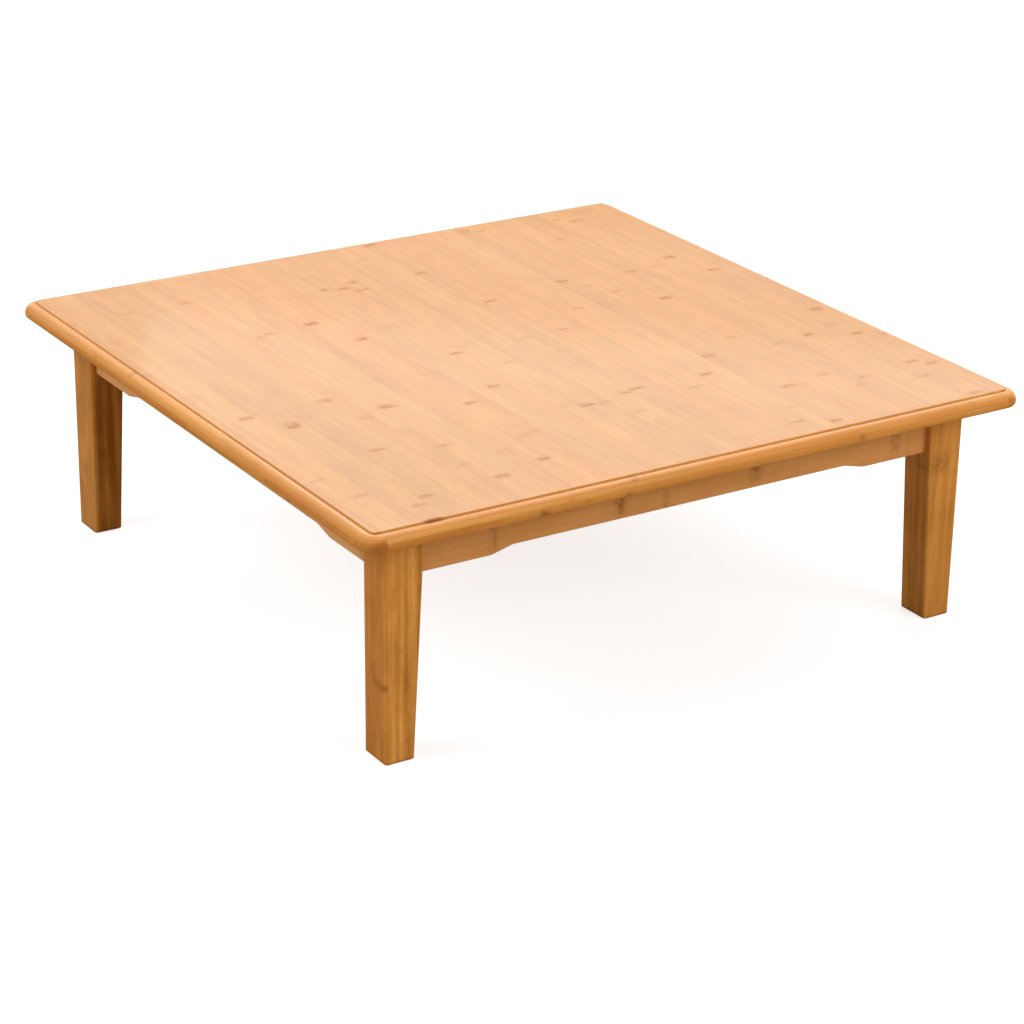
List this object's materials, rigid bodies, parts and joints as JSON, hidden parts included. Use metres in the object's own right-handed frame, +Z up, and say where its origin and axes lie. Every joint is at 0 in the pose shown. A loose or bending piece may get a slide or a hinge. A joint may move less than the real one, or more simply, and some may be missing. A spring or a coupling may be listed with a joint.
{
  "type": "low square coffee table",
  "caption": "Low square table of lacquered laminated bamboo, with a moulded edge, stepped aprons and tapered fixed legs.",
  "frame": {"origin": "on the floor, at the middle of the footprint", "axes": "+Z up, +X to the right along the front edge, +Y to the rear; the top's slats run along Y"},
  "size_m": [0.9, 0.9, 0.3],
  "materials": {
    "bamboo_top": "gloss clear lacquer over carbonised bamboo",
    "bamboo_edge": "gloss clear lacquer over carbonised bamboo",
    "bamboo_apron": "semi-gloss clear lacquer over carbonised bamboo",
    "bamboo_leg": "semi-gloss clear lacquer over carbonised bamboo",
    "bamboo_inner": "sanded bamboo with one thin coat",
    "screw_steel": "yellow zinc plated",
    "bolt_steel": "bright zinc plated"
  },
  "bodies": {
    "root": {"top_panel": "bamboo_top", "edge_strip_front": "bamboo_edge", "edge_strip_rear": "bamboo_edge", "edge_strip_left": "bamboo_edge", "edge_strip_right": "bamboo_edge", "apron_front": "bamboo_apron", "apron_rear": "bamboo_apron", "apron_left": "bamboo_apron", "apron_right": "bamboo_apron", "leg_front_left": "bamboo_leg", "leg_front_right": "bamboo_leg", "leg_rear_left": "bamboo_leg", "leg_rear_right": "bamboo_leg", "brace_front_left": "bamboo_inner", "brace_front_right": "bamboo_inner", "brace_rear_left": "bamboo_inner", "brace_rear_right": "bamboo_inner", "batten_front": "bamboo_inner", "batten_rear": "bamboo_inner", "cleat_front": "bamboo_inner", "cleat_rear": "bamboo_inner", "cleat_left": "bamboo_inner", "cleat_right": "bamboo_inner", "brace_screws": "screw_steel", "brace_top_screws": "screw_steel", "batten_screws": "screw_steel", "cleat_screws": "screw_steel", "hanger_bolts": "bolt_steel", "bolt_washers": "bolt_steel", "bolt_nuts": "bolt_steel"}
  },
  "joints": []
}
